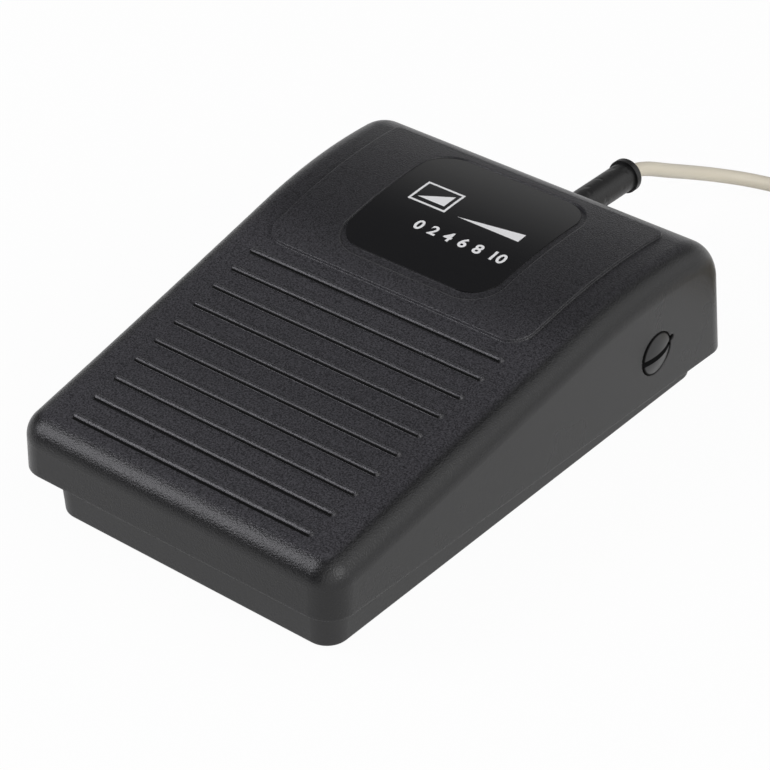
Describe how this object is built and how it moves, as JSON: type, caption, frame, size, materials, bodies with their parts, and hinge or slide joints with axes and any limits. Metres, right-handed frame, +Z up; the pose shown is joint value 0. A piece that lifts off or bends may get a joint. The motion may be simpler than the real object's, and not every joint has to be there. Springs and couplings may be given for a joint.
{
  "type": "foot potentiometer",
  "caption": "Wedge-shaped foot pedal: a ribbed moulded cover rocks on a shallow base and turns a potentiometer through a toothed sector; cable out at the rear.",
  "frame": {"origin": "on the floor under the middle of the pedal, cable left out", "axes": "+Y from the toe end to the heel end, where the cable leaves; +Z up; +X to the right"},
  "size_m": [0.1609, 0.2366, 0.0452],
  "materials": {
    "black_abs_cover": "fine spark texture on top, smoother sides",
    "black_abs_base": "smooth",
    "black_abs_plug": "smooth",
    "label_film": "glossy film",
    "black_rubber": "matt",
    "relief_rubber": "satin",
    "cream_sheath": "satin",
    "core_insulation": "smooth, one colour per core",
    "white_nylon": "smooth",
    "white_acetal": "smooth",
    "brass": "cut",
    "nickel_brass": "nickel plated",
    "zinc_steel": "zinc plated",
    "tin_steel": "drawn, tinned",
    "spring_steel": "drawn wire",
    "spring_bronze": "stamped",
    "die_cast": "cast",
    "shaft_aluminium": "turned",
    "tinned_copper": "tinned",
    "phenolic": "pressed board",
    "carbon_track": "printed",
    "rotor_resin": "moulded"
  },
  "bodies": {
    "base": {"base_tub": "black_abs_base", "bracket_screws": "zinc_steel", "bump_stops": "black_rubber", "cable": "cream_sheath", "cable_coil": "cream_sheath", "cable_saddle": "white_nylon", "cable_tail": "cream_sheath", "coil_tie": "white_nylon", "core_ends": "core_insulation", "core_tips": "tinned_copper", "inner_cable": "cream_sheath", "lead_wires": "core_insulation", "pot_bracket": "zinc_steel", "pot_bush": "die_cast", "pot_case": "tin_steel", "pot_nut": "nickel_brass", "pot_terminals": "tinned_copper", "pot_track": "carbon_track", "pot_wafer": "phenolic", "pot_washer": "nickel_brass", "return_spring_left": "spring_steel", "return_spring_right": "spring_steel", "rubber_feet": "black_rubber", "saddle_screws": "zinc_steel", "sleeve_cable": "cream_sheath", "strain_relief": "relief_rubber"},
    "pedal": {"pedal_cover": "black_abs_cover", "label_plate": "label_film", "pivot_plug_left": "black_abs_plug", "pivot_plug_right": "black_abs_plug", "gear_sector": "white_acetal", "sector_screws": "zinc_steel"},
    "rotor": {"pot_shaft": "shaft_aluminium", "pot_rotor": "rotor_resin", "pot_wiper": "spring_bronze", "drive_pinion": "brass", "pinion_grub_screw": "zinc_steel"}
  },
  "joints": [
    {"name": "pedal_press", "type": "hinge", "parent": "base", "child": "pedal", "pos_m": [0, 0.0421, 0.0234], "axis": [1, 0, 0], "range_deg": [0, 4.5], "stiffness_Nm_per_rad": 9.5, "springref_deg": -3.04, "deforming": ["return_spring_left", "return_spring_right"]},
    {"name": "pot_turn", "type": "hinge", "parent": "base", "child": "rotor", "pos_m": [0, -0.03407, 0.0136], "axis": [1, 0, 0], "range_deg": [-67.5, 0]}
  ],
  "couplings": [
    {"joint": "pot_turn", "follows": "pedal_press", "ratio": -15}
  ]
}
